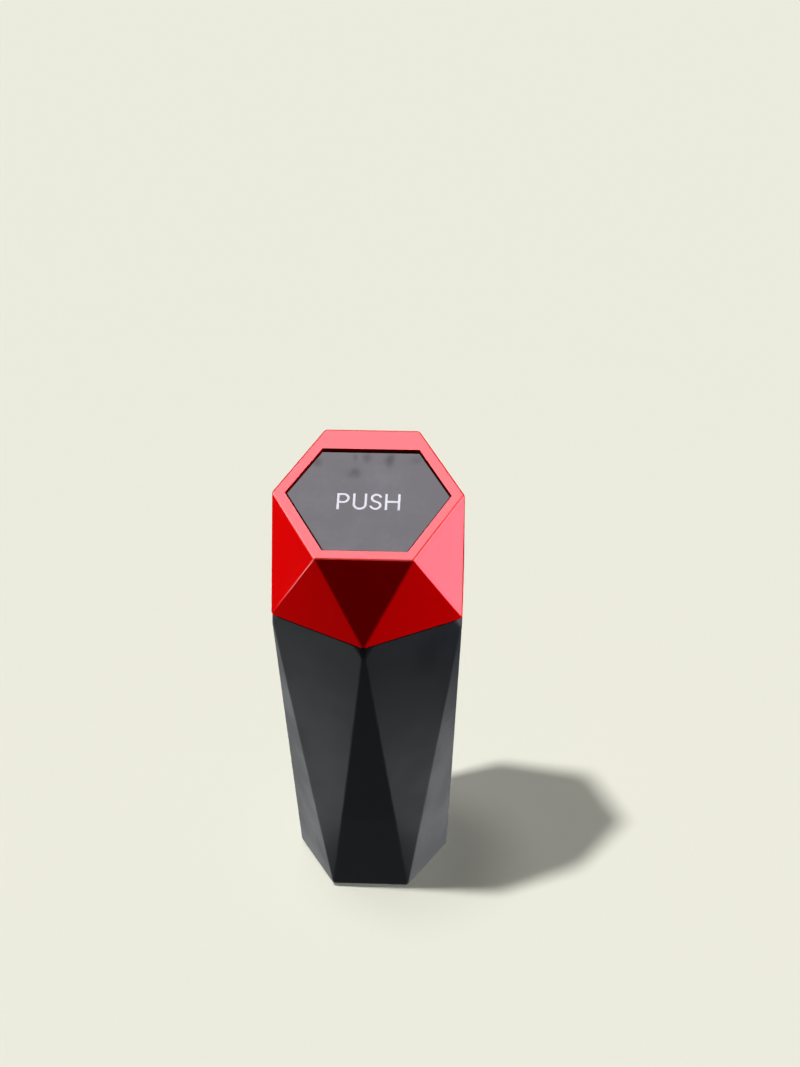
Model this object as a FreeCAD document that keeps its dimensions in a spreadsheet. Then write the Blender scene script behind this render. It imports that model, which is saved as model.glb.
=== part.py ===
import FreeCAD, Part
import math
import os
import Sketcher
from FreeCAD import Placement, Rotation, Vector

# Car trash bin: a tall hexagonal bin of black plastic under a red faceted cover.
# A hexagon at the seam is turned by 30 degrees against the ones at the top and at the foot, so that both
# outsides are bands of triangles. The top slopes down towards the front, -Y. A flap fills its opening and is
# pushed down into the bin against two springs on a pin behind it, and the cover pulls off for emptying.
# Millimetres, +Z up, the origin in the middle of the foot. What sits in the sloping top is drawn in the top's
# own frame: its origin in the middle of the rim's upper face, +Y uphill to the hinge, +Z out of the face.

SIZES = [
    ("topHeight", 198.0, "middle of the rim's upper face above the floor"),
    ("seamHeight", 150.0, "top edge of the bin's outer wall above the floor"),
    ("topTilt", 20.0, "slope of the top in degrees"),
    ("topRadius", 41.0, "corner radius of the hexagon round the top"),
    ("seamRadius", 47.3, "corner radius of the hexagon at the seam"),
    ("footRadius", 34.8, "corner radius of the hexagon at the foot"),
    ("binWall", 2.5, "wall of the bin"),
    ("binFloor", 3.0, "floor of the bin"),
    ("binEdgeRound", 2.4, "rounding of the bin's slanting edges and of its foot"),
    ("lipHeight", 4.0, "lip of the bin above the seam"),
    ("lipCorner", 10.0, "rounding of the lip's outer corners"),
    ("lipFit", 0.2, "gap between the lip and the cover's skirt"),
    ("lipDraft", 3.0, "slope of the lip's outside in degrees"),
    ("coverWall", 2.5, "side wall of the cover"),
    ("skirtWall", 1.2, "cover wall where it reaches over the lip"),
    ("rimThick", 2.2, "top wall of the cover"),
    ("coverEdgeRound", 1.4, "rounding of the cover's edge round its top"),
    ("coverFacetRound", 2.6, "rounding of the cover's slanting edges"),
    ("seamGap", 0.3, "gap between the cover and the bin, seen as a dark line"),
    ("rimBand", 4.5, "rim round the opening, at the front and the sides"),
    ("rearBand", 11.6, "rim behind the opening, over the hinge"),
    ("flapGap", 0.5, "gap between the flap and the opening"),
    ("flapBackGap", 1.1, "wider gap at the flap's back edge, which swings past the rim"),
    ("flapSink", 0.7, "flap face below the rim's face"),
    ("flapThick", 1.9, "flap plate"),
    ("flapEdge", 0.35, "chamfer round the flap's face"),
    ("flangeReach", 1.05, "how far the flap's flange reaches under the rim"),
    ("flangeWidth", 2.9, "flange width"),
    ("flangeThick", 1.8, "flange thickness"),
    ("flangeGap", 0.2, "gap between the flange and the rim above it"),
    ("ribThick", 1.2, "stiffening ribs under the flap"),
    ("hingeSetback", 3.5, "pin behind the opening's back edge"),
    ("pinRadius", 1.25, "hinge pin"),
    ("pinFit", 0.06, "gap between the pin and the flap's knuckles"),
    ("pinSeat", 0.02, "gap between the pin and the bracket's ears"),
    ("pinOverhang", 0.6, "pin end beyond each ear"),
    ("knuckleRadius", 2.6, "flap knuckles round the pin"),
    ("knuckleClear", 0.5, "gap between the knuckles and the rim above them"),
    ("knuckleInner", 4.0, "middle of the pin to the inner side of a knuckle"),
    ("knuckleWidth", 3.2, "knuckle along the pin"),
    ("springRoom", 4.4, "knuckle to ear along the pin, where a spring's turns lie"),
    ("earThick", 2.2, "bracket ear along the pin"),
    ("bracketPlate", 1.8, "bracket plate"),
    ("bracketDrop", 3.0, "pin's middle above the bracket plate"),
    ("bracketDepth", 6.6, "bracket plate from front to back"),
    ("screwSpan", 35.8, "distance between the bracket's two screws"),
    ("tabRadius", 2.8, "rounded ends of the bracket round its screws"),
    ("bossRadius", 2.5, "screw bosses of the cover"),
    ("screwRadius", 1.0, "screw shank"),
    ("screwLength", 7.0, "screw shank under the head"),
    ("screwHeadRadius", 2.1, "screw head"),
    ("screwHeadHigh", 1.5, "screw head"),
    ("screwFit", 0.05, "gap between a screw and its pilot hole"),
    ("screwPass", 0.3, "gap between a screw and its hole in the bracket"),
    ("wireRadius", 0.35, "spring wire"),
    ("coilRadius", 2.1, "middle of the spring wire round the pin"),
    ("springTurns", 3.0, "whole turns of a spring"),
    ("springFit", 0.25, "gap between a spring and the knuckle or ear beside it"),
    ("springReach", 10.0, "tip of a spring's long leg in front of the pin"),
    ("padInset", 8.0, "edge of the foot pad inside the bin's edge"),
    ("padThick", 2.0, "foot pad"),
    ("padProud", 0.8, "foot pad below the bin's foot"),
    ("padFit", 0.2, "gap round the foot pad in its recess"),
    ("padEdge", 0.4, "chamfer of the foot pad"),
]

doc = FreeCAD.newDocument("CarTrashBin")
sheet = doc.addObject("Spreadsheet::Sheet", "Sizes")
for row, (alias, number, meaning) in enumerate(SIZES, start=1):
    sheet.set(f"A{row}", alias)
    sheet.set(f"B{row}", str(number))
    sheet.set(f"C{row}", meaning)
    sheet.setAlias(f"B{row}", alias)
doc.recompute()


def size(alias):
    return float(sheet.get(alias))


def evaluate(expression):
    """The number that an expression of the sheet gives now."""
    return float(sheet.evalExpression(expression))


def bind(thing, **expressions):
    """Ties properties to the sheet; a double underscore stands for a dot in a property's path."""
    for path, expression in expressions.items():
        thing.setExpression(path.replace("__", "."), expression)
    return thing


def topPlacement():
    return Placement(Vector(0, 0, size("topHeight")), Rotation(Vector(1, 0, 0), size("topTilt")))


def putInTop(thing):
    """Places an object in the frame of the sloping top."""
    thing.Placement = topPlacement()
    return bind(thing, Placement__Base__z="Sizes.topHeight", Placement__Rotation__Angle="Sizes.topTilt")


# The opening leaves the rim its width all round, and more of it at the back, where the hinge hides.
MOUTH_RADIUS = "(Sizes.topRadius - Sizes.rimBand / cos(30))"
MOUTH_BACK = "(Sizes.topRadius * cos(30) - Sizes.rearBand)"

# Places that several pieces share, in the frame of the sloping top; what is deep lies under the rim's face.
PIN_BACK = "(" + MOUTH_BACK + " + Sizes.hingeSetback)"
PIN_DEEP = "(Sizes.rimThick + Sizes.knuckleClear + Sizes.knuckleRadius)"
EAR_INNER = "(Sizes.knuckleInner + Sizes.knuckleWidth + Sizes.springRoom)"
EAR_OUTER = "(" + EAR_INNER + " + Sizes.earThick)"
PLATE_TOP = "(" + PIN_DEEP + " + Sizes.bracketDrop)"
PLATE_UNDER = "(" + PLATE_TOP + " + Sizes.bracketPlate)"
FLAP_UNDER = "(Sizes.flapSink + Sizes.flapThick)"
FLANGE_UNDER = "(Sizes.rimThick + Sizes.flangeGap + Sizes.flangeThick)"


# Bodies, sketches and features


def plane(body, role):
    return next(feature for feature in body.Origin.OriginFeatures if feature.Role == role)


def newSketch(body, name, role, offset=None):
    """A sketch on one of the body's own planes, lifted off it by the expression given."""
    sketch = body.newObject("Sketcher::SketchObject", name)
    sketch.AttachmentSupport = [(plane(body, role), "")]
    sketch.MapMode = "FlatFace"
    if offset:
        bind(sketch, AttachmentOffset__Base__z=offset)
    return sketch


def pinDown(sketch, edge, end, x, y):
    """Fixes one end of an edge, or the middle of a circle, at a place given by two expressions."""
    for kind, expression in (("DistanceX", x), ("DistanceY", y)):
        if expression:
            number = sketch.addConstraint(Sketcher.Constraint(kind, -1, 1, edge, end, evaluate(expression)))
            sketch.setExpression(f"Constraints[{number}]", expression)


def addOutline(sketch, corners):
    """A closed outline of straight edges, each corner at a pair of expressions."""
    first = sketch.GeometryCount
    count = len(corners)
    values = [(evaluate(x), evaluate(y)) for x, y in corners]
    for i in range(count):
        start, end = values[i], values[(i + 1) % count]
        sketch.addGeometry(Part.LineSegment(Vector(*start, 0), Vector(*end, 0)))
    for i in range(count):
        sketch.addConstraint(Sketcher.Constraint("Coincident", first + i, 2, first + (i + 1) % count, 1))
    for i, (x, y) in enumerate(corners):
        pinDown(sketch, first + i, 1, x, y)


def addRoundedOutline(sketch, corners, centre, startAngle):
    """Straight edges through the corners, closed by half a circle from the last corner to the first."""
    points = [Vector(evaluate(x), evaluate(y), 0) for x, y in corners]
    last = len(corners) - 2
    for i in range(last + 1):
        sketch.addGeometry(Part.LineSegment(points[i], points[i + 1]))
        if i > 0:
            sketch.addConstraint(Sketcher.Constraint("Coincident", i - 1, 2, i, 1))
        pinDown(sketch, i, 1, *corners[i])
    pinDown(sketch, last, 2, *corners[-1])
    radius = (points[0] - points[-1]).Length / 2
    circle = Part.Circle((points[0] + points[-1]) / 2, Vector(0, 0, 1), radius)
    arc = sketch.addGeometry(Part.ArcOfCircle(circle, startAngle, startAngle + math.pi))
    sketch.addConstraint(Sketcher.Constraint("Coincident", last, 2, arc, 1))
    sketch.addConstraint(Sketcher.Constraint("Coincident", arc, 2, 0, 1))
    pinDown(sketch, arc, 3, *centre)


def addRectangle(sketch, left, right, low, high):
    addOutline(sketch, [(left, low), (right, low), (right, high), (left, high)])


def addCircle(sketch, x, y, radius):
    centre = Vector(evaluate(x), evaluate(y), 0)
    circle = sketch.addGeometry(Part.Circle(centre, Vector(0, 0, 1), evaluate(radius)))
    pinDown(sketch, circle, 3, x, y)
    number = sketch.addConstraint(Sketcher.Constraint("Radius", circle, evaluate(radius)))
    sketch.setExpression(f"Constraints[{number}]", radius)


def pad(body, name, sketch, length, down=False):
    feature = body.newObject("PartDesign::Pad", name)
    feature.Profile = sketch
    feature.Reversed = down
    return bind(feature, Length=length)


def pocketThrough(body, name, sketch):
    feature = body.newObject("PartDesign::Pocket", name)
    feature.Profile = sketch
    feature.Type = "ThroughAll"
    feature.Midplane = True
    doc.recompute()
    return feature


def mirrorAcross(body, name, features, role="YZ_Plane"):
    feature = body.newObject("PartDesign::Mirrored", name)
    feature.Originals = features
    feature.MirrorPlane = (plane(body, role), [""])
    body.Tip = feature
    return feature


def part(kind, name, **properties):
    thing = doc.addObject(kind, name)
    for key, value in properties.items():
        setattr(thing, key, value)
    return thing


def roundEdges(name, base, radiusOf):
    """A Part fillet over the edges of base to which radiusOf gives a radius."""
    doc.recompute()
    radii = [(i, radiusOf(edge)) for i, edge in enumerate(base.Shape.Edges, start=1)]
    return part("Part::Fillet", name, Base=base, Edges=[(i, r, r) for i, r in radii if r])


def allAtHeight(edge, height):
    return all(abs(vertex.Z - height) < 1e-4 for vertex in edge.Vertexes)


# The bin: two hexagonal tapers share their ends' corners, and what both hold is the band of triangles


def hexagonAt(name, radius, height, turned):
    """A hexagon lying level; turned puts its flats, not its corners, on the X axis."""
    polygon = part("Part::RegularPolygon", name, Polygon=6)
    if turned:
        polygon.Placement.Rotation = Rotation(Vector(0, 0, 1), 30)
    return bind(polygon, Circumradius=radius, Placement__Base__z=height)


def taper(name, footRadius, seamRadius, turned):
    """A hexagonal taper from the foot to the seam."""
    sections = [
        hexagonAt(name + "Foot", footRadius, "Sizes.padProud", turned),
        hexagonAt(name + "Seam", seamRadius, "Sizes.seamHeight", turned),
    ]
    return part("Part::Loft", name, Sections=sections, Solid=True, Ruled=True)


def binForm(name, wall):
    """The bin's flat-sided form with every side moved inwards by the wall."""
    rise = "(Sizes.seamHeight - Sizes.padProud)"
    seamFlat = "Sizes.seamRadius * cos(30)"
    footFlat = "Sizes.footRadius * cos(30)"
    wideInset = f"{wall} / cos(atan(({seamFlat} - Sizes.footRadius) / {rise}))"
    narrowInset = f"{wall} / cos(atan((Sizes.seamRadius - {footFlat}) / {rise}))"
    wide = taper(
        name + "FromSeam",
        f"(Sizes.footRadius - {wideInset}) / cos(30)",
        f"({seamFlat} - {wideInset}) / cos(30)",
        True,
    )
    narrow = taper(
        name + "FromFoot",
        f"({footFlat} - {narrowInset}) / cos(30)",
        f"(Sizes.seamRadius - {narrowInset}) / cos(30)",
        False,
    )
    return wide, narrow


def lipPrism(name, inset, corner, bottom, height, draft="0"):
    """A hexagonal prism under the seam's outline, narrower upwards by the draft, its six corners rounded."""
    outline = hexagonAt(name + "Outline", f"(Sizes.seamRadius - ({inset}) / cos(30))", bottom, True)
    prism = part("Part::Extrusion", name + "Prism", Base=outline, Solid=True)
    prism.DirMode = "Custom"
    prism.Dir = Vector(0, 0, 1)
    bind(prism, LengthFwd=height, TaperAngle=f"-{draft}")
    return roundEdges(name, prism, lambda edge: corner if edge.Vertexes[0].Z != edge.Vertexes[-1].Z else 0)


def makeLowerBody():
    outside = part("Part::MultiCommon", "BinForm", Shapes=list(binForm("BinForm", "0")))
    edgeRound = size("binEdgeRound")
    seam = size("seamHeight")
    rounded = roundEdges("BinRounded", outside, lambda edge: 0 if allAtHeight(edge, seam) else edgeRound)

    lipInset = "Sizes.skirtWall + Sizes.lipFit"
    innerCorner = size("lipCorner") - (size("binWall") - size("skirtWall") - size("lipFit"))
    floorHeight = "Sizes.padProud + Sizes.binFloor"
    toSeam = f"Sizes.seamHeight - {floorHeight.replace('+', '-')}"
    bore = lipPrism("BinBore", "Sizes.binWall", innerCorner, floorHeight, toSeam)
    hollow = part("Part::MultiCommon", "BinHollow", Shapes=[*binForm("BinInside", "Sizes.binWall"), bore])
    shell = part("Part::Cut", "BinShell", Base=rounded, Tool=hollow)

    root = "Sizes.seamHeight - Sizes.binWall"
    lipTall = "Sizes.lipHeight + Sizes.binWall"
    lipOutside = lipPrism("LipOutside", lipInset, size("lipCorner"), root, lipTall, "Sizes.lipDraft")
    lipInside = lipPrism("LipInside", "Sizes.binWall", innerCorner, root, lipTall)
    lip = part("Part::Cut", "Lip", Base=lipOutside, Tool=lipInside)
    withLip = part("Part::Fuse", "BinWithLip", Base=shell, Tool=lip)

    recess = part("Part::Prism", "PadRecess", Polygon=6)
    bind(recess, Circumradius="Sizes.footRadius - Sizes.padInset", Height="Sizes.padThick")
    lowerBody = part("Part::Cut", "LowerBody", Base=withLip, Tool=recess)
    lowerBody.Label = "lower_body"
    return lowerBody


def makeFootPad():
    """A thin soft pad, seated in the recess in the bin's foot."""
    blank = part("Part::Prism", "FootPadBlank", Polygon=6)
    padRadius = "Sizes.footRadius - Sizes.padInset - Sizes.padFit / cos(30)"
    bind(blank, Circumradius=padRadius, Height="Sizes.padThick")
    doc.recompute()
    cut = size("padEdge")
    lower = [(i, cut, cut) for i, edge in enumerate(blank.Shape.Edges, start=1) if allAtHeight(edge, 0)]
    footPad = part("Part::Chamfer", "FootPad", Base=blank, Edges=lower)
    footPad.Label = "foot_pad"
    return footPad


# The cover: the hexagon at the seam and the sloping one at the top, joined by triangles


def ringCorners(radius, firstAngle, placement):
    angles = [math.radians(firstAngle + 60 * i) for i in range(6)]
    return [placement.multVec(Vector(radius * math.cos(a), radius * math.sin(a), 0)) for a in angles]


def triangleBand(lower, upper):
    """A solid between two hexagons; lower corner i lies between upper corners i and i + 1."""
    loops = [lower[::-1], upper]
    for i in range(6):
        loops.append([lower[i - 1], lower[i], upper[i]])
        loops.append([upper[(i + 1) % 6], upper[i], lower[i]])
    faces = [Part.Face(Part.makePolygon([*loop, loop[0]])) for loop in loops]
    return Part.Solid(Part.Shell(faces))


def movedInwards(form, depthOf):
    """A flat-sided form with each face moved inwards by depthOf(outward normal)."""
    reach = 2 * form.BoundBox.DiagonalLength
    middle = form.CenterOfMass
    inner = None
    for face in form.Faces:
        outward = face.normalAt(0, 0)
        if outward.dot(face.CenterOfMass - middle) < 0:
            outward = -outward
        away = outward.dot(face.CenterOfMass - middle) - depthOf(outward)
        within = Part.makeBox(reach, reach, reach, Vector(-reach / 2, -reach / 2, -reach))
        within.Placement = Placement(middle + outward * away, Rotation(Vector(0, 0, 1), outward))
        inner = inner.common(within) if inner else within
    return inner


def coverDepths(side):
    """How deep each face of the cover's hollow lies: the given wall at the sides, the rim's at the top."""
    rimNormal = topPlacement().Rotation.multVec(Vector(0, 0, 1))

    def depthOf(outward):
        if outward.z < -0.5:
            return -size("seamGap")
        return size("rimThick") if outward.dot(rimNormal) > 0.999 else side

    return depthOf


def mouthOutline(inset="0", backInset="0"):
    """The opening: a hexagon parallel to the rim, cut off straight in front of the hinge."""
    radius = f"({MOUTH_RADIUS} - ({inset}) / cos(30))"
    back = f"({MOUTH_BACK} - ({backInset}))"
    backHalf = f"({radius} - {back} * tan(30))"
    halfFront = f"{radius} / 2"
    front = f"-{radius} * cos(30)"
    return [
        (radius, "0"),
        (backHalf, back),
        (f"-{backHalf}", back),
        (f"-{radius}", "0"),
        (f"-{halfFront}", front),
        (halfFront, front),
    ]


def makeTopCover():
    seam = Placement(Vector(0, 0, size("seamHeight") + size("seamGap")), Rotation())
    form = triangleBand(
        ringCorners(size("seamRadius"), 30, seam),
        ringCorners(size("topRadius"), 0, topPlacement()),
    )
    outside = part("Part::Feature", "CoverForm", Shape=form)
    lowest = seam.Base.z
    inTop = topPlacement().inverse()

    def radiusOf(edge):
        if allAtHeight(edge, lowest):
            return 0
        onTop = all(abs(inTop.multVec(vertex.Point).z) < 1e-4 for vertex in edge.Vertexes)
        return size("coverEdgeRound" if onTop else "coverFacetRound")

    rounded = roundEdges("CoverRounded", outside, radiusOf)

    hollowForm = movedInwards(form, coverDepths(size("coverWall")))
    hollow = part("Part::Feature", "CoverHollow", Shape=hollowForm)
    skirtForm = movedInwards(form, coverDepths(size("skirtWall")))
    skirtSpace = part("Part::Feature", "SkirtForm", Shape=skirtForm)
    band = part("Part::Cylinder", "SkirtBand")
    bind(
        band,
        Radius="2 * Sizes.seamRadius",
        Height="Sizes.lipHeight + 2 * Sizes.seamGap",
        Placement__Base__z="Sizes.seamHeight",
    )
    rebate = part("Part::Common", "SkirtRebate", Base=skirtSpace, Tool=band)

    mouth = putInTop(part("PartDesign::Body", "Mouth"))
    mouthSketch = newSketch(mouth, "MouthSketch", "XY_Plane")
    addOutline(mouthSketch, mouthOutline())
    mouthPad = pad(mouth, "MouthPad", mouthSketch, "4 * Sizes.rimThick")
    mouthPad.Midplane = True
    opened = part("Part::Cut", "CoverWalls", Base=rounded)
    opened.Tool = part("Part::MultiFuse", "CoverSpaces", Shapes=[hollow, rebate, mouth])

    bosses = putInTop(part("PartDesign::Body", "Bosses"))
    bossSketch = newSketch(bosses, "BossSketch", "XY_Plane", f"-{PLATE_TOP}")
    for side in ("", "-"):
        addCircle(bossSketch, f"{side}Sizes.screwSpan / 2", PIN_BACK, "Sizes.bossRadius")
    pad(bosses, "BossPad", bossSketch, f"{PLATE_TOP} - Sizes.rimThick / 2")
    doc.recompute()
    withBosses = part("Part::Fuse", "CoverWithBosses", Base=opened, Tool=bosses)

    pilots = putInTop(part("PartDesign::Body", "Pilots"))
    pilotHoles = newSketch(pilots, "PilotHoles", "XY_Plane", f"-{PLATE_TOP}")
    for side in ("", "-"):
        addCircle(pilotHoles, f"{side}Sizes.screwSpan / 2", PIN_BACK, "Sizes.screwRadius + Sizes.screwFit")
    pad(pilots, "PilotPad", pilotHoles, "Sizes.screwLength - Sizes.bracketPlate + 2 * Sizes.screwFit")
    cover = part("Part::Cut", "TopCover", Base=withBosses, Tool=pilots)
    cover.Label = "top_cover"
    return cover


# The flap and what carries it, each drawn in the frame of the sloping top


def makePushFlap():
    flap = putInTop(part("PartDesign::Body", "PushFlap"))
    flap.Label = "push_flap"
    backInset = "Sizes.flapBackGap"

    plateSketch = newSketch(flap, "PlateSketch", "XY_Plane", f"-{FLAP_UNDER}")
    addOutline(plateSketch, mouthOutline("Sizes.flapGap", backInset))
    pad(flap, "Plate", plateSketch, "Sizes.flapThick")

    flangeSketch = newSketch(flap, "FlangeSketch", "XY_Plane", f"-{FLANGE_UNDER}")
    addOutline(flangeSketch, mouthOutline("-Sizes.flangeReach", backInset))
    inner = "Sizes.flangeWidth - Sizes.flangeReach"
    addOutline(flangeSketch, mouthOutline(inner, f"{backInset} + {inner}"))
    pad(flap, "Flange", flangeSketch, "Sizes.flangeThick")

    def rib(name, left, right, low, high):
        sketch = newSketch(flap, name + "Sketch", "XY_Plane", f"-{FLANGE_UNDER}")
        addRectangle(sketch, left, right, low, high)
        return pad(flap, name, sketch, f"{FLANGE_UNDER} - {FLAP_UNDER} + Sizes.flapThick / 2")

    armMiddle = "(Sizes.knuckleInner + Sizes.knuckleWidth / 2)"
    halfRib = "Sizes.ribThick / 2"
    plateFront = f"(-{MOUTH_RADIUS} * cos(30) + Sizes.flapGap)"
    plateBack = f"({MOUTH_BACK} - Sizes.flapBackGap)"
    plateSide = f"({MOUTH_RADIUS} - Sizes.flapGap / cos(30) - Sizes.ribThick)"
    longRib = rib("LongRib", f"{armMiddle} - {halfRib}", f"{armMiddle} + {halfRib}", plateFront, plateBack)
    mirrorAcross(flap, "LongRibs", [longRib])
    rib("CrossRib", f"-{plateSide}", plateSide, f"-{halfRib}", halfRib)

    knuckleSketch = newSketch(flap, "KnuckleSketch", "YZ_Plane", "Sizes.knuckleInner")
    addKnuckleProfile(knuckleSketch)
    knuckle = pad(flap, "Knuckle", knuckleSketch, "Sizes.knuckleWidth")
    mirrorAcross(flap, "Knuckles", [knuckle])

    boreSketch = newSketch(flap, "BoreSketch", "YZ_Plane")
    addCircle(boreSketch, PIN_BACK, f"-{PIN_DEEP}", "Sizes.pinRadius + Sizes.pinFit")
    pocketThrough(flap, "Bore", boreSketch)
    chamferFlapFace(flap)
    return flap


def addKnuckleProfile(sketch):
    """A round eye on the pin's line with a tapering arm that runs forward under the flap plate."""
    eyeTop = f"(-{PIN_DEEP} + Sizes.knuckleRadius)"
    eyeLow = f"(-{PIN_DEEP} - Sizes.knuckleRadius)"
    plateMiddle = f"(-{FLAP_UNDER} + Sizes.flapThick / 2)"
    flapBack = f"({MOUTH_BACK} - Sizes.flapBackGap)"
    armFront = f"({flapBack} - Sizes.flangeWidth)"
    corners = [
        (PIN_BACK, eyeTop),
        (flapBack, eyeTop),
        (flapBack, plateMiddle),
        (armFront, plateMiddle),
        (armFront, f"-{FLANGE_UNDER}"),
        (PIN_BACK, eyeLow),
    ]
    addRoundedOutline(sketch, corners, (PIN_BACK, None), -math.pi / 2)


def chamferFlapFace(flap):
    """Breaks the edge round the flap's face."""
    doc.recompute()
    base = flap.Tip
    edges = [i for i, e in enumerate(base.Shape.Edges, start=1) if allAtHeight(e, -size("flapSink"))]
    feature = flap.newObject("PartDesign::Chamfer", "FaceEdge")
    feature.Base = (base, [f"Edge{i}" for i in edges])
    bind(feature, Size="Sizes.flapEdge")


def makeHingeBracket():
    bracket = putInTop(part("PartDesign::Body", "HingeBracket"))
    bracket.Label = "hinge_bracket"
    plateSketch = newSketch(bracket, "BracketSketch", "XY_Plane", f"-{PLATE_TOP}")
    half = "(Sizes.screwSpan / 2)"
    near, far = f"({PIN_BACK} - Sizes.bracketDepth / 2)", f"({PIN_BACK} + Sizes.bracketDepth / 2)"
    addRectangle(plateSketch, f"-{half}", half, near, far)
    pad(bracket, "BracketPlate", plateSketch, "Sizes.bracketPlate", down=True)
    tabSketch = newSketch(bracket, "TabSketch", "XY_Plane", f"-{PLATE_TOP}")
    addCircle(tabSketch, half, PIN_BACK, "Sizes.tabRadius")
    tab = pad(bracket, "Tab", tabSketch, "Sizes.bracketPlate", down=True)
    mirrorAcross(bracket, "Tabs", [tab])

    earSketch = newSketch(bracket, "EarSketch", "YZ_Plane", EAR_INNER)
    addEarProfile(earSketch)
    ear = pad(bracket, "Ear", earSketch, "Sizes.earThick")
    mirrorAcross(bracket, "Ears", [ear])

    seatSketch = newSketch(bracket, "SeatSketch", "YZ_Plane")
    addCircle(seatSketch, PIN_BACK, f"-{PIN_DEEP}", "Sizes.pinRadius + Sizes.pinSeat")
    pocketThrough(bracket, "PinSeats", seatSketch)
    screwSketch = newSketch(bracket, "ScrewSketch", "XY_Plane", f"-{PLATE_TOP}")
    for side in ("", "-"):
        addCircle(screwSketch, f"{side}{half}", PIN_BACK, "Sizes.screwRadius + Sizes.screwPass")
    pocketThrough(bracket, "ScrewHoles", screwSketch)
    return bracket


def addEarProfile(sketch):
    """An upright ear on the bracket plate, round over the pin."""
    foot = f"(-{PLATE_TOP} - Sizes.bracketPlate / 2)"
    level = f"(-{PIN_DEEP})"
    near, far = f"({PIN_BACK} - Sizes.knuckleRadius)", f"({PIN_BACK} + Sizes.knuckleRadius)"
    addRoundedOutline(sketch, [(near, level), (near, foot), (far, foot), (far, level)], (None, level), 0)


def makeHingePin():
    pin = putInTop(part("PartDesign::Body", "HingePin"))
    pin.Label = "hinge_pin"
    sketch = newSketch(pin, "PinSketch", "YZ_Plane")
    addCircle(sketch, PIN_BACK, f"-{PIN_DEEP}", "Sizes.pinRadius")
    rod = pad(pin, "Rod", sketch, f"2 * ({EAR_OUTER} + Sizes.pinOverhang)")
    rod.Midplane = True
    doc.recompute()
    ends = pin.newObject("PartDesign::Chamfer", "RodEnds")
    ends.Base = (rod, [f"Edge{i}" for i, e in enumerate(rod.Shape.Edges, start=1) if e.isClosed()])
    bind(ends, Size="Sizes.pinRadius / 4")
    return pin


def makeBracketScrews():
    """Two pan-head screws that go up through the bracket into the cover's bosses."""
    screw = putInTop(part("PartDesign::Body", "Screw"))
    sketch = newSketch(screw, "ScrewHalf", "XZ_Plane", f"-{PIN_BACK}")
    middle = "(Sizes.screwSpan / 2)"
    seat = f"(-{PLATE_UNDER})"
    tip = f"({seat} + Sizes.screwLength)"
    crown = f"({seat} - Sizes.screwHeadHigh)"
    addOutline(
        sketch,
        [
            (middle, crown),
            (f"{middle} + Sizes.screwHeadRadius * 0.8", crown),
            (f"{middle} + Sizes.screwHeadRadius", f"{seat} - Sizes.screwHeadHigh / 2"),
            (f"{middle} + Sizes.screwHeadRadius", seat),
            (f"{middle} + Sizes.screwRadius", seat),
            (f"{middle} + Sizes.screwRadius", f"{tip} - Sizes.screwRadius"),
            (f"{middle} + Sizes.screwRadius / 4", tip),
            (middle, tip),
        ],
    )
    turned = screw.newObject("PartDesign::Revolution", "ScrewTurned")
    turned.Profile = sketch
    turned.ReferenceAxis = (sketch, ["Edge8"])
    doc.recompute()
    longHalf, narrowHalf = "Sizes.screwHeadRadius * 0.55", "Sizes.screwHeadRadius * 0.14"
    for name, halfX, halfY in (("CrossAlong", longHalf, narrowHalf), ("CrossOver", narrowHalf, longHalf)):
        slot = newSketch(screw, name + "Sketch", "XY_Plane", crown)
        addRectangle(
            slot,
            f"{middle} - {halfX}",
            f"{middle} + {halfX}",
            f"{PIN_BACK} - {halfY}",
            f"{PIN_BACK} + {halfY}",
        )
        recess = screw.newObject("PartDesign::Pocket", name)
        recess.Profile = slot
        recess.Reversed = True
        bind(recess, Length="Sizes.screwHeadHigh * 0.6")
    doc.recompute()
    other = part("Part::Mirroring", "OtherScrew", Source=screw, Base=Vector(0, 0, 0), Normal=Vector(1, 0, 0))
    both = part("Part::Compound", "BracketScrews", Links=[screw, other])
    both.Label = "bracket_screws"
    return both


WIRE_SIDES = 12
TURN_STEPS = 20


def tangentAngle(x, y, radius, side):
    """Where a line from a point outside a circle round the origin touches it, on the side given."""
    return math.atan2(y, x) + side * math.acos(radius / math.hypot(x, y))


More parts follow.
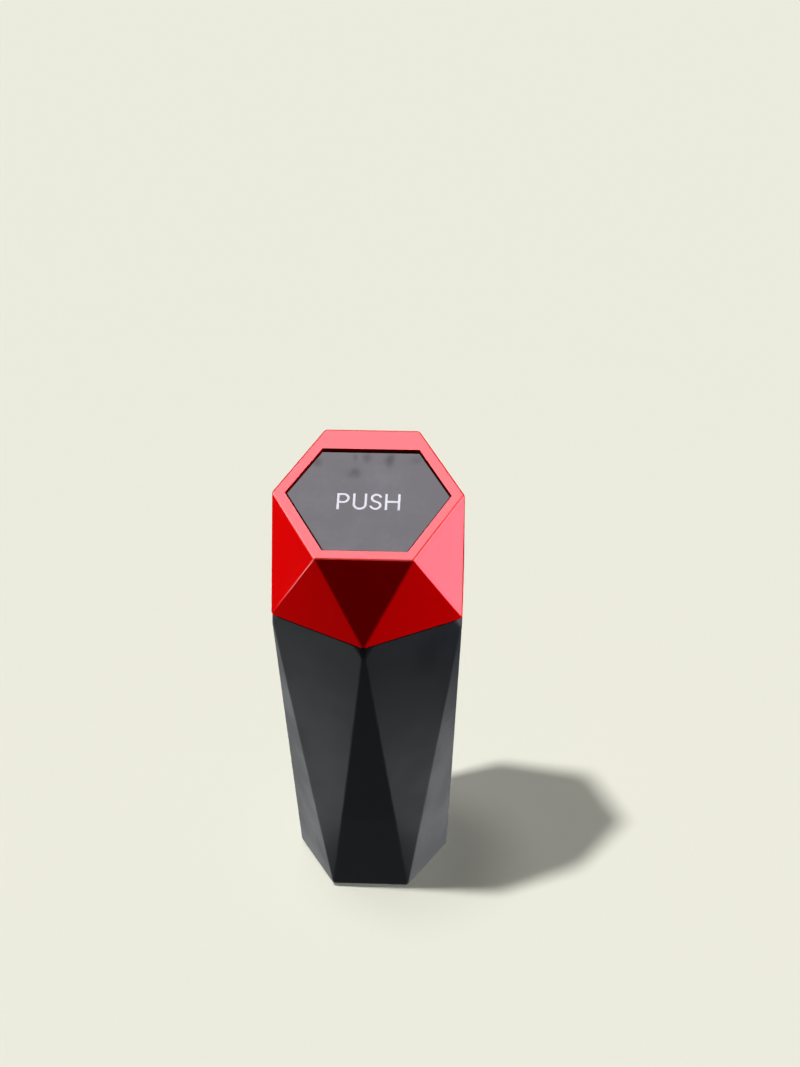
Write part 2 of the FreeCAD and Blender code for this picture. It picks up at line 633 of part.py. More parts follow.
def springShape():
    """The right spring, in the frame of the sloping top, its wire drawn with WIRE_SIDES flats.

    Its long leg runs forward and presses the flap plate from below, its short leg stands on the bracket plate.
    Both go on straight from the ends of the turns.
    """
    wire, radius, pinDeep = size("wireRadius"), size("coilRadius"), evaluate(PIN_DEEP)
    reach, rise = size("springReach"), pinDeep - evaluate(FLAP_UNDER) - wire
    rearReach, drop = size("bracketDepth") / 2 - 2 * wire, size("bracketDrop") - wire
    start = tangentAngle(-reach, rise, radius, 1)
    finish = tangentAngle(rearReach, -drop, radius, -1)
    turned = (finish - start) % (2 * math.pi) + 2 * math.pi * size("springTurns")
    longLeg = math.sqrt(reach**2 + rise**2 - radius**2)
    shortLeg = math.sqrt(rearReach**2 + drop**2 - radius**2)

    fit = wire + size("springFit")
    near, far = size("knuckleInner") + size("knuckleWidth") + fit, evaluate(EAR_INNER) - fit
    along = (far - near) / (longLeg + turned * radius + shortLeg)
    toPin = Placement(Vector(near, evaluate(PIN_BACK), -pinDeep), Rotation(Vector(1, 1, 1), 120))

    def section(angle, leg):
        """The wire's outline where it has turned by the angle, or out on a leg of that length from there."""
        outward = Vector(math.cos(angle), math.sin(angle), 0)
        forward = Vector(-math.sin(angle), math.cos(angle), along)
        travelled = longLeg + (angle - start) * radius + leg
        middle = outward * radius + Vector(forward.x, forward.y, 0) * leg + Vector(0, 0, travelled * along)
        sideways = forward.cross(outward).normalize()
        points = []
        for i in range(WIRE_SIDES + 1):
            around = 2 * math.pi * i / WIRE_SIDES
            corner = middle + outward * (wire * math.cos(around)) + sideways * (wire * math.sin(around))
            points.append(toPin.multVec(corner))
        return Part.makePolygon(points)

    steps = round(TURN_STEPS * turned / (2 * math.pi))
    sections = [section(start, -longLeg)]
    sections += [section(start + turned * i / steps, 0) for i in range(steps + 1)]
    sections.append(section(start + turned, shortLeg))
    return Part.makeLoft(sections, True, True)


def makeSprings():
    """A pair of torsion springs on the pin, one the mirror image of the other."""
    right = putInTop(part("Part::Feature", "SpringRight", Shape=springShape()))
    right.Label = "spring_right"
    left = part("Part::Mirroring", "SpringLeft", Source=right, Normal=Vector(1, 0, 0))
    left.Label = "spring_left"
    return [right, left]


nodes = [
    makeLowerBody(),
    makeFootPad(),
    makeTopCover(),
    makePushFlap(),
    makeHingeBracket(),
    makeHingePin(),
    makeBracketScrews(),
    *makeSprings(),
]
doc.recompute()

failed = [thing.Name for thing in doc.Objects if {"Invalid", "Error"} & set(thing.State)]
if failed:
    raise RuntimeError(f"these objects failed: {failed}")
os.makedirs("parts", exist_ok=True)
for node in nodes:
    if node.Shape.isNull() or not node.Shape.isValid():
        raise RuntimeError(f"{node.Label} has no valid shape")
    node.Shape.exportStep(os.path.join("parts", node.Label + ".step"))
    print(node.Label, len(node.Shape.Solids), "solid", round(node.Shape.Volume, 1), "mm3")
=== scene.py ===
import math

import bmesh
import bpy
from mathutils import Matrix, Vector


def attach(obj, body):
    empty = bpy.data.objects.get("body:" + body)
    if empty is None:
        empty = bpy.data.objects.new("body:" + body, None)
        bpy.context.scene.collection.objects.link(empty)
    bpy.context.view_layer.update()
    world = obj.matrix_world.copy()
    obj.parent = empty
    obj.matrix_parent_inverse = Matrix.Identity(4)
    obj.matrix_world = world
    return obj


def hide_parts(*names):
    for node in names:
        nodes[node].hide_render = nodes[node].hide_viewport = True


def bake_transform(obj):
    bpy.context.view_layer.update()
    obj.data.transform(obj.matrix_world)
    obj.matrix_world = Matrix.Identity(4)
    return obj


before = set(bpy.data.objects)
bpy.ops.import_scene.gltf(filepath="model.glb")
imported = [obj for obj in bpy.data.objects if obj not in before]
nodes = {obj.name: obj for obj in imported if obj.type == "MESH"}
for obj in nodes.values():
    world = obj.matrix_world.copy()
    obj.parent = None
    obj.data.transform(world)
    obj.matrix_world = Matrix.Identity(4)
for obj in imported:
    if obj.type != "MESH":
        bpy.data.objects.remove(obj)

scene = bpy.context.scene
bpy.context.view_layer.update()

# The sloping top's own frame: x to the right, y uphill to the hinge, z out of the rim's face.
topMiddle = (0, 0, 0.198)
topSlope = 20  # degrees
slopingTop = Matrix.Translation(topMiddle) @ Matrix.Rotation(math.radians(topSlope), 4, "X")
print("frame loaded:", len(nodes), "nodes")


# The camera stands a little to the right of the middle and looks down on the sloping top.
photoCamera = {
    "place": (0.04539, -0.66944, 0.60716),
    "right": (0.9990, 0.0443, -0.0054),
    "up": (-0.0194, 0.5393, 0.8419),
    "back": (0.0402, -0.8410, 0.5396),
    "lens": 62.488,
}


def makeCamera(look):
    data = bpy.data.cameras.new("photoCamera")
    data.lens = look["lens"]
    camera = bpy.data.objects.new("photoCamera", data)
    scene.collection.objects.link(camera)
    turn = Matrix((look["right"], look["up"], look["back"])).transposed().to_quaternion()
    camera.matrix_world = Matrix.Translation(look["place"]) @ turn.normalized().to_matrix().to_4x4()
    scene.camera = camera


makeCamera(photoCamera)
print("camera placed")


# Materials are put together from these few helpers.
def newMaterial(name):
    material = bpy.data.materials.new(name)
    material.use_nodes = True
    return material, material.node_tree.nodes["Principled BSDF"]


def addNode(material, kind, settings=None, **inputs):
    node = material.node_tree.nodes.new(kind)
    for key, value in (settings or {}).items():
        setattr(node, key, value)
    for key, value in inputs.items():
        node.inputs[key.replace("_", " ")].default_value = value
    return node


def join(material, source, target):
    material.node_tree.links.new(source, target)


def setShader(shader, **values):
    for key, value in values.items():
        shader.inputs[key.replace("_", " ")].default_value = value


# Noise on the piece's own coordinates, in grains per metre.
def noise(material, scale, detail=2.0, roughness=0.5, stretch=(1, 1, 1)):
    place = addNode(material, "ShaderNodeTexCoord")
    mapping = addNode(material, "ShaderNodeMapping", Scale=stretch)
    grain = addNode(material, "ShaderNodeTexNoise", Scale=scale, Detail=detail, Roughness=roughness)
    join(material, place.outputs["Object"], mapping.inputs["Vector"])
    join(material, mapping.outputs["Vector"], grain.inputs["Vector"])
    return grain.outputs["Fac"]


# Takes the part of a noise between two levels to the range wanted.
def spread(material, value, fromLow, fromHigh, low, high):
    ranged = addNode(material, "ShaderNodeMapRange", {"interpolation_type": "SMOOTHSTEP"})
    for key, number in (("From Min", fromLow), ("From Max", fromHigh), ("To Min", low), ("To Max", high)):
        ranged.inputs[key].default_value = number
    join(material, value, ranged.inputs["Value"])
    return ranged.outputs["Result"]


def blendColours(material, share, first, second):
    ramp = addNode(material, "ShaderNodeValToRGB")
    ramp.color_ramp.elements[0].color = (*first, 1)
    ramp.color_ramp.elements[1].color = (*second, 1)
    join(material, share, ramp.inputs["Fac"])
    return ramp.outputs["Color"]


def bump(material, height, distance, strength=1.0, under=None):
    node = addNode(material, "ShaderNodeBump", Strength=strength, Distance=distance)
    join(material, height, node.inputs["Height"])
    if under:
        join(material, under, node.inputs["Normal"])
    return node.outputs["Normal"]


# The cover: a red lacquer with fine metal in it, under a clear coat.
coverRed = {
    "deep": (0.71, 0.0002, 0.0004),
    "light": (0.77, 0.0003, 0.0006),
    "cloud": 60,
    "metal": 0.25,
    "roughness": (0.44, 0.52),
    "fleck": 2600,
    "fleckDeep": 0.000006,
    "coatRoughness": 0.06,
    "coatIndex": 1.5,
    "peel": 420,
    "peelDeep": 0.000012,
}


def makeCoverRed(look):
    material, shader = newMaterial("coverRedLacquer")
    cloud = noise(material, look["cloud"], detail=3)
    fleck = noise(material, look["fleck"], detail=1)
    join(material, blendColours(material, cloud, look["deep"], look["light"]), shader.inputs["Base Color"])
    join(material, spread(material, fleck, 0.3, 0.7, *look["roughness"]), shader.inputs["Roughness"])
    setShader(shader, Metallic=look["metal"], Specular_IOR_Level=0.0)
    setShader(shader, Coat_Weight=1.0, Coat_Roughness=look["coatRoughness"], Coat_IOR=look["coatIndex"])
    peel = noise(material, look["peel"], detail=1)
    skin = bump(material, peel, look["peelDeep"])
    join(material, skin, shader.inputs["Coat Normal"])
    join(material, bump(material, fleck, look["fleckDeep"], under=skin), shader.inputs["Normal"])
    return material


# The bin: black plastic from a finely etched mould.
binBlack = {
    "deep": (0.0070, 0.0085, 0.0100),
    "light": (0.0090, 0.0105, 0.0125),
    "cloud": 45,
    "roughness": (0.38, 0.50),
    "grain": 3200,
    "grainDeep": 0.000010,
}


def makeBinBlack(look):
    material, shader = newMaterial("binBlackPlastic")
    cloud = noise(material, look["cloud"], detail=4)
    grain = noise(material, look["grain"], detail=3, roughness=0.6)
    join(material, blendColours(material, cloud, look["deep"], look["light"]), shader.inputs["Base Color"])
    join(material, spread(material, cloud, 0.3, 0.7, *look["roughness"]), shader.inputs["Roughness"])
    join(material, bump(material, grain, look["grainDeep"]), shader.inputs["Normal"])
    return material


# The flap: polished black plastic that has been wiped and touched.
flapBlack = {
    "deep": (0.0040, 0.0040, 0.0044),
    "haze": (0.0420, 0.0400, 0.0400),
    "cloud": 48,
    "wiped": (0.05, 0.16),
    "smudged": 0.10,  # what a finger mark adds to the roughness
    "dulled": (0.50, 0.27),  # how strongly a clean place and a full mark mirror
    "streaks": 160,
    "streakStretch": (1, 0.4, 1),
    "streakFaint": 0.5,
    "polish": 1.43,
    "polishTint": (1, 0.99, 0.94, 1),
    "wave": 90,
    "waveDeep": 0.000010,
}
# Finger marks near the back edge, where the flap is wiped least: each one's middle, reach and strength.
markHeight = 0.2
fingerMarks = [
    ((-0.0069, 0.0105), (0.0062, 0.0054), 0.80),
    ((-0.0065, 0.0189), (0.0019, 0.0050), 0.60),
    ((-0.0014, 0.0188), (0.0038, 0.0055), 0.65),
    ((0.0081, 0.0187), (0.0046, 0.0085), 0.85),
    ((-0.0228, 0.0159), (0.0042, 0.0048), 0.60),
    ((0.0203, 0.0185), (0.0064, 0.0055), 0.55),
]


def makeFingerMark(material, middle, reach, strength):
    place = addNode(material, "ShaderNodeTexCoord")
    spot = addNode(material, "ShaderNodeMapping", {"vector_type": "TEXTURE"})
    spot.inputs["Location"].default_value = (*middle, markHeight)
    spot.inputs["Scale"].default_value = (*reach, 1)
    away = addNode(material, "ShaderNodeVectorMath", {"operation": "LENGTH"})
    join(material, place.outputs["Object"], spot.inputs["Vector"])
    join(material, spot.outputs["Vector"], away.inputs[0])
    return spread(material, away.outputs["Value"], 0, 1, strength, 0)


def calculate(material, operation, first, second):
    node = addNode(material, "ShaderNodeMath", {"operation": operation})
    join(material, first, node.inputs[0])
    join(material, second, node.inputs[1])
    return node.outputs["Value"]


def makeFlapBlack(look):
    material, shader = newMaterial("flapBlackGloss")
    cloud = noise(material, look["cloud"], detail=3, roughness=0.55)
    hazy = spread(material, cloud, 0.35, 0.75, 0, 1)
    join(material, blendColours(material, hazy, look["deep"], look["haze"]), shader.inputs["Base Color"])

    marks = None
    for middle, reach, strength in fingerMarks:
        mark = makeFingerMark(material, middle, reach, strength)
        marks = calculate(material, "MAXIMUM", marks, mark) if marks else mark
    streaks = noise(material, look["streaks"], detail=4, roughness=0.55, stretch=look["streakStretch"])
    broken = spread(material, streaks, 0.30, 0.60, look["streakFaint"], 1)
    marks = calculate(material, "MULTIPLY", marks, broken)
    wiped = spread(material, cloud, 0.4, 0.7, *look["wiped"])
    marked = spread(material, marks, 0, 1, 0, look["smudged"])
    join(material, calculate(material, "ADD", wiped, marked), shader.inputs["Roughness"])
    join(material, spread(material, marks, 0, 1, *look["dulled"]), shader.inputs["Specular IOR Level"])
    setShader(shader, IOR=look["polish"], Specular_Tint=look["polishTint"])
    wave = noise(material, look["wave"], detail=1)
    join(material, bump(material, wave, look["waveDeep"]), shader.inputs["Normal"])
    return material


# Small parts inside: plain black plastic, rubber and three kinds of steel.
smallFinishes = {
    "bracketBlack": {"colour": (0.014, 0.014, 0.015), "metal": 0, "roughness": (0.40, 0.55), "grain": 1800},
    "padRubber": {"colour": (0.020, 0.020, 0.021), "metal": 0, "roughness": (0.75, 0.92), "grain": 1500},
    "pinSteel": {"colour": (0.60, 0.59, 0.57), "metal": 1, "roughness": (0.16, 0.30), "grain": 900},
    "screwSteel": {"colour": (0.52, 0.52, 0.54), "metal": 1, "roughness": (0.24, 0.40), "grain": 1500},
    "springSteel": {"colour": (0.46, 0.45, 0.44), "metal": 1, "roughness": (0.20, 0.36), "grain": 2200},
}
smallGrain = {"darker": 0.8, "deep": 0.000008}


def makeSmallFinish(name, look):
    material, shader = newMaterial(name)
    grain = noise(material, look["grain"], detail=3)
    darker = tuple(smallGrain["darker"] * channel for channel in look["colour"])
    join(material, blendColours(material, grain, darker, look["colour"]), shader.inputs["Base Color"])
    join(material, spread(material, grain, 0.3, 0.7, *look["roughness"]), shader.inputs["Roughness"])
    join(material, bump(material, grain, smallGrain["deep"]), shader.inputs["Normal"])
    setShader(shader, Metallic=look["metal"])
    return material


# The lettering's ink: screen-printed, a cool white.
printWhite = {
    "thin": (0.88, 0.91, 0.90),
    "full": (0.94, 0.97, 0.95),
    "roughness": (0.35, 0.55),
    "grain": 2500,
    "grainDeep": 0.000005,
}


def makePrintWhite(look):
    material, shader = newMaterial("printWhite")
    grain = noise(material, look["grain"], detail=2)
    join(material, blendColours(material, grain, look["thin"], look["full"]), shader.inputs["Base Color"])
    join(material, spread(material, grain, 0.3, 0.7, *look["roughness"]), shader.inputs["Roughness"])
    join(material, bump(material, grain, look["grainDeep"]), shader.inputs["Normal"])
    return material


finishes = {name: makeSmallFinish(name, look) for name, look in smallFinishes.items()}
finishes["coverRed"] = makeCoverRed(coverRed)
finishes["binBlack"] = makeBinBlack(binBlack)
finishes["flapBlack"] = makeFlapBlack(flapBlack)
finishes["printWhite"] = makePrintWhite(printWhite)
print("materials made:", len(finishes))


hair = 0.00001  # how near a point lies to the height or plane that it is looked for on
samePoint = 0.0000005
sameFlat = 0.2  # degrees


def mergedCopy(nodeName):
    form = bmesh.new()
    form.from_mesh(nodes[nodeName].data)
    bmesh.ops.remove_doubles(form, verts=form.verts, dist=samePoint)
    return form


# A node's shape with its triangles merged back into whole flats.
def wholeFlats(nodeName):
    form = mergedCopy(nodeName)
    bmesh.ops.dissolve_limit(form, angle_limit=math.radians(sameFlat), verts=form.verts, edges=form.edges)
    return form


# Shades the round edges smooth and the flats flat, and links the piece to the scene.
def finishPiece(form, name, material, sharpAngle=35):
    for face in form.faces:
        face.smooth = True
    for edge in form.edges:
        edge.smooth = len(edge.link_faces) == 2 and edge.calc_face_angle(0) < math.radians(sharpAngle)
    mesh = bpy.data.meshes.new(name)
    form.to_mesh(mesh)
    form.free()
    if "custom_normal" in mesh.attributes:
        mesh.attributes.remove(mesh.attributes["custom_normal"])
    mesh.materials.clear()
    mesh.materials.append(finishes[material])
    piece = bpy.data.objects.new(name, mesh)
    scene.collection.objects.link(piece)
    even = piece.modifiers.new("evenFlats", "WEIGHTED_NORMAL")
    even.keep_sharp = True
    even.weight = 100
    return piece


# The opening isn't quite an even hexagon: its side corners lie a little further forward, and its back
# corners further in. Places and moves are in the rim's plane.
openingCorners = [
    {"corner": (0.0358, 0), "move": (-0.0004, -0.0009)},
    {"corner": (-0.0358, 0), "move": (0.0003, -0.0007)},
    {"corner": (0.0220, 0.0239), "move": (-0.0010, 0)},
    {"corner": (-0.0220, 0.0239), "move": (0.0010, 0)},
]


# Moves the points near the opening's corners: those within reach and no deeper under the rim's face.
def fitOpening(form, reach, deepest):
    inTop = slopingTop.inverted()
    for look in openingCorners:
        near = []
        for vertex in form.verts:
            place = inTop @ vertex.co
            if (place.xy - Vector(look["corner"])).length < reach and -deepest < place.z < hair:
                near.append(vertex)
        bmesh.ops.translate(form, verts=near, vec=slopingTop.to_3x3() @ Vector((*look["move"], 0)))


# The cover keeps its flats. The opening's edge is eased, and the hem over the seam slopes up to its
# outer edge, which makes the dark line of the seam.
coverShape = {
    "cornerReach": 0.0005,
    "rimThick": 0.0023,
    "mouthEdge": 0.00012,
    "mouthReach": 0.0365,
    "mouthBack": 0.0242,
    "hemHeight": 0.1503,
    "hemRise": 0.0003,
}


def makeCoverShell(shape):
    form = wholeFlats("top_cover")
    fitOpening(form, shape["cornerReach"], shape["rimThick"])
    inTop = slopingTop.inverted()

    def onMouthEdge(vertex):
        place = inTop @ vertex.co
        inMouth = math.hypot(place.x, place.y) < shape["mouthReach"] and place.y < shape["mouthBack"]
        return inMouth and abs(place.z) < hair

    def onHem(vertex):
        outward = Vector((vertex.co.x, vertex.co.y, 0)).normalized()
        outside = any(face.normal.dot(outward) > 0.5 for face in vertex.link_faces)
        return outside and abs(vertex.co.z - shape["hemHeight"]) < hair

    edges = [edge for edge in form.edges if all(onMouthEdge(vertex) for vertex in edge.verts)]
    bmesh.ops.bevel(
        form,
        geom=edges,
        offset=shape["mouthEdge"],
        offset_type="OFFSET",
        affect="EDGES",
        segments=3,
        profile=0.5,
        material=-1,
    )
    hem = [vertex for vertex in form.verts if onHem(vertex)]
    bmesh.ops.translate(form, verts=hem, vec=(0, 0, shape["hemRise"]))
    print("cover: mouth edges eased:", len(edges), "and hem points raised:", len(hem))
    return finishPiece(form, "cover_shell", "coverRed")


coverShell = makeCoverShell(coverShape)
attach(coverShell, "cover")
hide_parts("top_cover")

binShell = finishPiece(wholeFlats("lower_body"), "bin_shell", "binBlack")
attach(binShell, "bin")
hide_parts("lower_body")


# The flap's face lies a little forward and to the right in its opening, as in the photograph.
flapShape = {
    "cornerReach": 0.0036,
    "flangeDeep": 0.0043,
    "faceDeep": 0.0007,
    "faceShift": (0.00016, -0.00029, 0),
}


def makeFlapPlate(shape):
    form = wholeFlats("push_flap")
    fitOpening(form, shape["cornerReach"], shape["flangeDeep"])
    inTop = slopingTop.inverted()
    face = [vertex for vertex in form.verts if abs((inTop @ vertex.co).z + shape["faceDeep"]) < hair]
    bmesh.ops.translate(form, verts=face, vec=slopingTop.to_3x3() @ Vector(shape["faceShift"]))
    print("flap: points of the face shifted:", len(face))
    return finishPiece(form, "flap_plate", "flapBlack")


flapPlate = makeFlapPlate(flapShape)
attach(flapPlate, "flap")
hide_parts("push_flap")
print("shells made")


# The word on the flap: even strokes of white ink with square ends, a little proud of its face.
# Each stroke is a row of knots in cap heights: x, y, and the reach of the curve's handles there.
strokes = [
    [(0.054, 0.000, 0, 0), (0.054, 1.000, 0, 0)],  # P
    [
        (0.054, 0.946, 0, 0),
        (0.311, 0.946, 0.135, 0),
        (0.556, 0.700, 0, -0.135),
        (0.311, 0.455, -0.135, 0),
        (0.054, 0.455, 0, 0),
    ],
    [
        (0.838, 1.000, 0, 0),
        (0.838, 0.340, 0, -0.158),
        (1.124, 0.054, 0.158, 0),
        (1.410, 0.340, 0, 0.158),
        (1.410, 1.000, 0, 0),
    ],  # U
    [
        (2.160, 0.766, -0.020, 0.080),
        (1.923, 0.942, -0.120, 0.000),
        (1.708, 0.725, 0.000, -0.110),
        (1.916, 0.505, 0.110, -0.040),
        (2.143, 0.285, 0.000, -0.120),
        (1.899, 0.062, -0.130, 0.000),
        (1.655, 0.247, -0.015, 0.080),
    ],  # S
    [(2.423, 0.000, 0, 0), (2.423, 1.000, 0, 0)],  # H
    [(3.055, 0.000, 0, 0), (3.055, 1.000, 0, 0)],
    [(2.423, 0.510, 0, 0), (3.055, 0.510, 0, 0)],
]
lettering = {
    "capHeight": 0.00862,
    "stroke": 0.00100,
    "middle": (0.00035, -0.00445),
    "face": -0.0007,
    "proud": 0.00003,
}


def makeLettering(look):
    ink = bpy.data.curves.new("pushStrokes", "CURVE")
    ink.dimensions = "3D"
    ink.bevel_depth = look["stroke"] / 2
    ink.bevel_resolution = 2
    ink.resolution_u = 10
    ink.use_fill_caps = True
    for stroke in strokes:
        line = ink.splines.new("BEZIER")
        line.bezier_points.add(len(stroke) - 1)
        for point, (x, y, reachX, reachY) in zip(line.bezier_points, stroke):
            knot, reach = Vector((x, y, 0)), Vector((reachX, reachY, 0))
            point.co = knot * look["capHeight"]
            point.handle_left = (knot - reach) * look["capHeight"]
            point.handle_right = (knot + reach) * look["capHeight"]
    draft = bpy.data.objects.new("pushDraft", ink)
    scene.collection.objects.link(draft)
    bpy.context.view_layer.update()
    tubes = bpy.data.meshes.new_from_object(draft)
    bpy.data.objects.remove(draft)

    form = bmesh.new()
    form.from_mesh(tubes)
    bmesh.ops.remove_doubles(form, verts=form.verts, dist=0.000001)
    across = [vertex.co.x for vertex in form.verts]
    along = [vertex.co.y for vertex in form.verts]
    middle = Vector(((min(across) + max(across)) / 2, (min(along) + max(along)) / 2, 0))
    bmesh.ops.translate(form, verts=form.verts, vec=-middle)
    bmesh.ops.scale(form, verts=form.verts, vec=(1, 1, 2 * look["proud"] / look["stroke"]))
    onFlap = slopingTop @ Matrix.Translation((*look["middle"], look["face"]))
    bmesh.ops.transform(form, verts=form.verts, matrix=onFlap)
    bmesh.ops.recalc_face_normals(form, faces=form.faces)
    print("lettering: strokes", len(strokes))
    return finishPiece(form, "push_lettering", "printWhite", sharpAngle=50)


pushLettering = makeLettering(lettering)
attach(pushLettering, "flap")
print("lettering made")


# The two springs, each listed with its side, get smooth-shaded copies of their own.
springEnds = {"spring_right": 1, "spring_left": -1}


def makeSpring(nodeName):
    spring = finishPiece(mergedCopy(nodeName), nodeName + "_wire", "springSteel", sharpAngle=50)
    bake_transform(spring)
    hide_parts(nodeName)


for nodeName, side in springEnds.items():
    makeSpring(nodeName)

# The other small parts keep their shapes.
keptNodes = {
    "foot_pad": "padRubber",
    "hinge_bracket": "bracketBlack",
    "hinge_pin": "pinSteel",
    "bracket_screws": "screwSteel",
}
for nodeName, finish in keptNodes.items():
    for slot in nodes[nodeName].material_slots:
        slot.material = finishes[finish]
print("springs and small parts dressed")


# The floor: plain, matt and pale, large enough to fill every view.
floorLook = {"colour": (0.80, 0.80, 0.697), "half": 6.0}


def makeFloor(look):
    form = bmesh.new()
    bmesh.ops.create_grid(form, x_segments=1, y_segments=1, size=look["half"])
    mesh = bpy.data.meshes.new("floor")
    form.to_mesh(mesh)
    form.free()
    material, shader = newMaterial("floorPale")
    setShader(shader, Base_Color=(*look["colour"], 1), Roughness=1.0, Specular_IOR_Level=0.0)
    mesh.materials.append(material)
    floor = bpy.data.objects.new("floor", mesh)
    floor.visible_diffuse = False  # no pale light thrown up on the object
    scene.collection.objects.link(floor)
    return floor


floor = makeFloor(floorLook)

# Lights for the floor alone reach only the floor, and the softboxes reach everything but the floor.
floorOnly = bpy.data.collections.new("floorOnly")
floorOnly.objects.link(floor)
notTheFloor = bpy.data.collections.new("notTheFloor")
notTheFloor.objects.link(floor)
notTheFloor.collection_objects[0].light_linking.link_state = "EXCLUDE"

floorLights = {
    "floorSun": {"towards": (-0.405, -0.105, 1), "strength": 2.48, "angle": 3.8, "shadow": True},
    "floorSoft": {"towards": (-0.12, 0.05, 1), "strength": 0.40, "angle": 12.0, "shadow": True},
    "floorFill": {"towards": (0, 0, 1), "strength": 0.560, "angle": 5.0, "shadow": False},
}


def makeFloorLight(name, look):
    lamp = bpy.data.lights.new(name, "SUN")
    lamp.energy = look["strength"]
    lamp.angle = math.radians(look["angle"])
    lamp.use_shadow = look["shadow"]
    holder = bpy.data.objects.new(name, lamp)
    holder.rotation_euler = Vector(look["towards"]).to_track_quat("Z", "Y").to_euler()
    scene.collection.objects.link(holder)
    holder.light_linking.receiver_collection = floorOnly


for name, look in floorLights.items():
    makeFloorLight(name, look)

# Softboxes. The top mirrors the one overhead, and the ones on the right and left light the sides. The
# small ones with a high glow only fill. The two gleams are only mirrored, in the rim's rounded edges.
softboxes = {
    "overhead": {
        "place": (-0.055, 0.39, 1.08),
        "aim": (0, 0, 0.20),
        "size": (0.84, 0.60),
        "glow": 4.7,
        "tint": (1, 0.96, 1.14),
    },
    "rightLow": {
        "place": (0.48, 0.03, 0.17),
        "aim": (0, 0, 0.16),
        "size": (0.36, 0.31),
        "glow": 3.7,
        "tint": (1, 0.97, 1.24),
    },
    "rightHigh": {
        "place": (0.44, 0.12, 0.42),
        "aim": (0, 0, 0.19),
        "size": (0.30, 0.24),
        "glow": 6.0,
        "tint": (1, 1, 1),
        "mirrored": False,
    },
    "rightFill": {
        "place": (0.50, -0.03, 0.09),
        "aim": (0, 0, 0.17),
        "size": (0.16, 0.12),
        "glow": 26.0,
        "tint": (1, 1, 1),
        "mirrored": False,
    },
    "left": {
        "place": (-0.50, 0.09, 0.33),
        "aim": (0, 0, 0.17),
        "size": (0.28, 0.34),
        "glow": 3.6,
        "tint": (1, 1, 1),
    },
    "leftFill": {
        "place": (-0.50, -0.03, 0.09),
        "aim": (0, 0, 0.17),
        "size": (0.16, 0.12),
        "glow": 33.5,
        "tint": (1, 1, 1),
        "mirrored": False,
    },
    "leftStrip": {
        "place": (-0.50, -0.065, 0.03),
        "aim": (0, 0, 0.17),
        "size": (0.07, 0.05),
        "glow": 5.0,
        "tint": (1, 1, 1),
    },
    "behind": {
        "place": (0.10, 0.90, 0.60),
        "aim": (0, 0, 0.12),
        "size": (0.60, 0.50),
        "glow": 2.0,
        "tint": (1, 1, 1),
        "mirrored": False,
    },
    "leftGleam": {
        "place": (-0.73, 0.10, 0.89),
        "aim": (0, 0, 0.19),
        "size": (0.60, 0.80),
        "glow": 5.0,
        "tint": (1, 0.96, 1.10),
        "lights": False,
    },
    "rightGleam": {
        "place": (0.71, -0.08, 0.62),
        "aim": (0.03, -0.02, 0.19),
        "size": (0.45, 0.47),
        "glow": 5.0,
        "tint": (1, 0.96, 1.10),
        "lights": False,
    },
}


def makeSoftbox(name, look):
    lamp = bpy.data.lights.new(name, "AREA")
    lamp.shape = "RECTANGLE"
    lamp.size, lamp.size_y = look["size"]
    lamp.energy = look["glow"] * math.pi * lamp.size * lamp.size_y
    lamp.color = look["tint"]
    holder = bpy.data.objects.new(name, lamp)
    holder.location = look["place"]
    holder.rotation_euler = (Vector(look["place"]) - Vector(look["aim"])).to_track_quat("Z", "Y").to_euler()
    holder.visible_camera = False
    holder.visible_glossy = look.get("mirrored", True)
    holder.visible_diffuse = look.get("lights", True)
    scene.collection.objects.link(holder)
    holder.light_linking.receiver_collection = notTheFloor


for name, look in softboxes.items():
    makeSoftbox(name, look)

# Cards that only the object's reflections see, each glowing with its tone. They are painted reflections:
# black for a dark room and ground, grey on the ground in front of the foot, and pale for an unshadowed
# floor beside the object. The camera doesn't see them.
cards = {
    "cardFront": {"middle": (0, -1.20, 0.55), "half": (1.6, 0.60), "upright": True, "tone": "black"},
    "cardBack": {"middle": (0, 1.30, 0.55), "half": (1.6, 0.60), "upright": True, "tone": "black"},
    "cardGround": {"middle": (0, 0, 0.0002), "half": (1.6, 1.3), "upright": False, "tone": "black"},
    "cardNear": {"middle": (-0.050, 0.05, 0.0004), "half": (0.170, 0.15), "upright": False, "tone": "pale"},
    "cardFoot": {"middle": (0, -0.320, 0.0006), "half": (0.047, 0.29), "upright": False, "tone": "grey"},
}
# The glow of each card, a painted reflection: black gives nothing, while grey and pale shine into the
# reflections.
cardReflectionGlows = {"black": (0, 0, 0), "grey": (0.14, 0.15, 0.16), "pale": (0.96, 0.98, 0.98)}


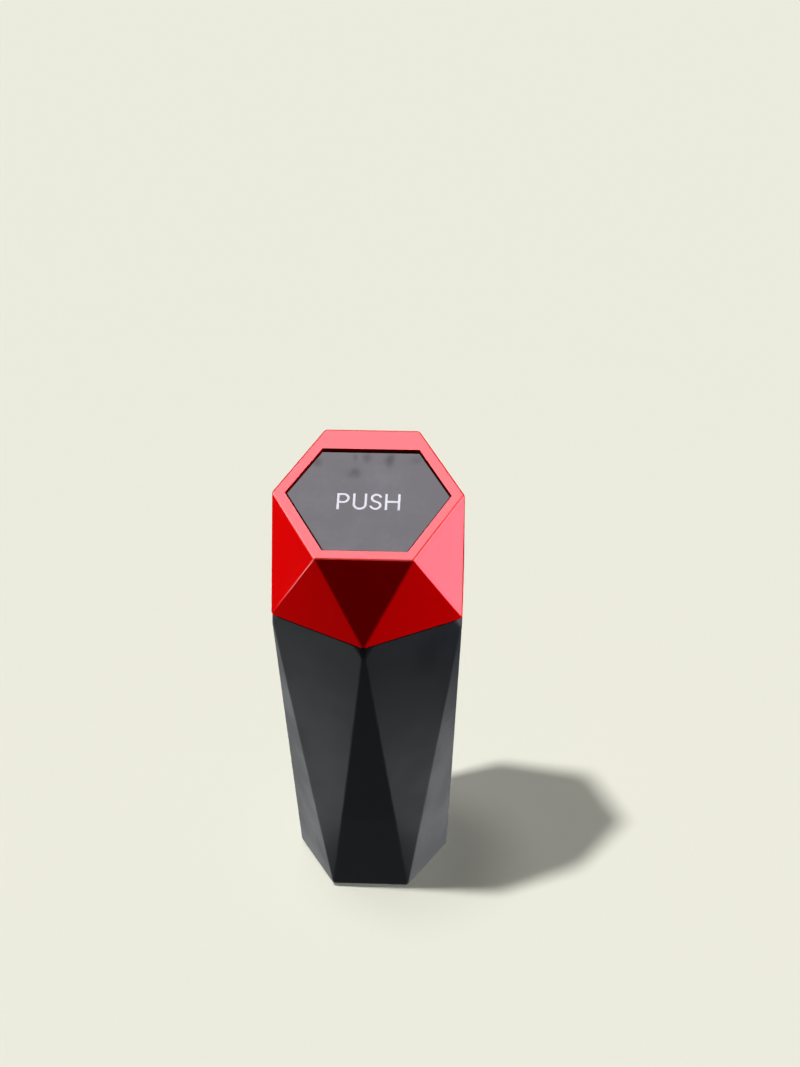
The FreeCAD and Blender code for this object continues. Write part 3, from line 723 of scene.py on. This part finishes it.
def makeCard(name, card, material):
    form = bmesh.new()
    bmesh.ops.create_grid(form, x_segments=1, y_segments=1, size=1.0)
    bmesh.ops.scale(form, verts=form.verts, vec=(*card["half"], 1))
    if card["upright"]:
        bmesh.ops.rotate(form, verts=form.verts, matrix=Matrix.Rotation(math.radians(90), 3, "X"))
    bmesh.ops.translate(form, verts=form.verts, vec=card["middle"])
    mesh = bpy.data.meshes.new(name)
    form.to_mesh(mesh)
    form.free()
    mesh.materials.append(material)
    sheet = bpy.data.objects.new(name, mesh)
    sheet.visible_camera = False
    sheet.visible_diffuse = False
    sheet.visible_transmission = False
    sheet.visible_shadow = False
    scene.collection.objects.link(sheet)


# A card has no colour of its own. Its tone is given off as a glow of strength one, a painted reflection.
def makeReflectionGlow(tone, colour):
    material, shader = newMaterial(tone + "Card")
    setShader(shader, Base_Color=(0, 0, 0, 1), Roughness=1.0, Specular_IOR_Level=0.0)
    setShader(shader, Emission_Color=(*colour, 1), Emission_Strength=1.0)
    return material


cardMaterials = {tone: makeReflectionGlow(tone, colour) for tone, colour in cardReflectionGlows.items()}
for name, card in cards.items():
    makeCard(name, card, cardMaterials[card["tone"]])

# Round the floor: the floor's own pale tone to look at, and a dim even light otherwise.
worldLook = {"pale": (0.84, 0.84, 0.73), "dim": (0.009, 0.009, 0.009)}


def makeWorld(look):
    world = bpy.data.worlds.new("studio")
    world.use_nodes = True
    scene.world = world
    tree = world.node_tree
    tree.nodes.clear()
    path = tree.nodes.new("ShaderNodeLightPath")
    seen = tree.nodes.new("ShaderNodeMath")
    seen.operation = "MAXIMUM"
    through = tree.nodes.new("ShaderNodeMath")
    through.operation = "MAXIMUM"
    pale = tree.nodes.new("ShaderNodeBackground")
    pale.inputs["Color"].default_value = (*look["pale"], 1)
    dim = tree.nodes.new("ShaderNodeBackground")
    dim.inputs["Color"].default_value = (*look["dim"], 1)
    mix = tree.nodes.new("ShaderNodeMixShader")
    output = tree.nodes.new("ShaderNodeOutputWorld")
    tree.links.new(path.outputs["Is Camera Ray"], seen.inputs[0])
    tree.links.new(path.outputs["Is Glossy Ray"], seen.inputs[1])
    tree.links.new(seen.outputs["Value"], through.inputs[0])
    tree.links.new(path.outputs["Is Transmission Ray"], through.inputs[1])
    tree.links.new(through.outputs["Value"], mix.inputs["Fac"])
    tree.links.new(dim.outputs["Background"], mix.inputs[1])
    tree.links.new(pale.outputs["Background"], mix.inputs[2])
    tree.links.new(mix.outputs["Shader"], output.inputs["Surface"])


makeWorld(worldLook)
scene.view_settings.view_transform = "Standard"
print("floor, lights and world set")
